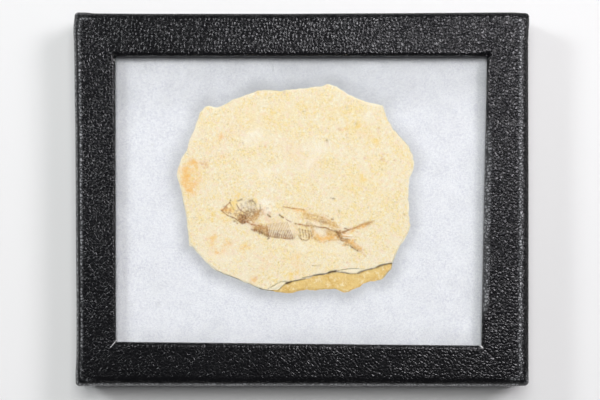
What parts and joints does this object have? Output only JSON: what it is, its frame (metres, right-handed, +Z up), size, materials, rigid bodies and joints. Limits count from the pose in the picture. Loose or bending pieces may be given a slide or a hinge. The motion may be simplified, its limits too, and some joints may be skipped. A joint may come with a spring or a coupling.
{
  "type": "fossil fish slab",
  "caption": "Limestone slab with a small fossil fish in low relief, bedded on white batting in a shallow black display case with a glass window.",
  "frame": {"origin": "middle of the case's underside, on the surface it lies on", "axes": "+X to the right along the case's long side, +Y to its back edge, +Z up through the glass; the fish's head points to -X and its back to +Y"},
  "size_m": [0.1334, 0.1096, 0.019],
  "materials": {
    "stone": "matte",
    "batting": "matte",
    "glass": "polished",
    "board": "matte",
    "black_cover": "satin",
    "tape": "matte",
    "black_paper": "matte"
  },
  "bodies": {
    "root": {"fossil_slab": "stone", "batting_pad": "batting", "glass_pane": "glass", "lid_board": "board", "lid_cover": "black_cover", "glass_tape_left": "tape", "glass_tape_right": "tape", "glass_tape_front": "tape", "glass_tape_back": "tape", "tray_board": "board", "tray_cover": "black_paper"}
  },
  "joints": []
}
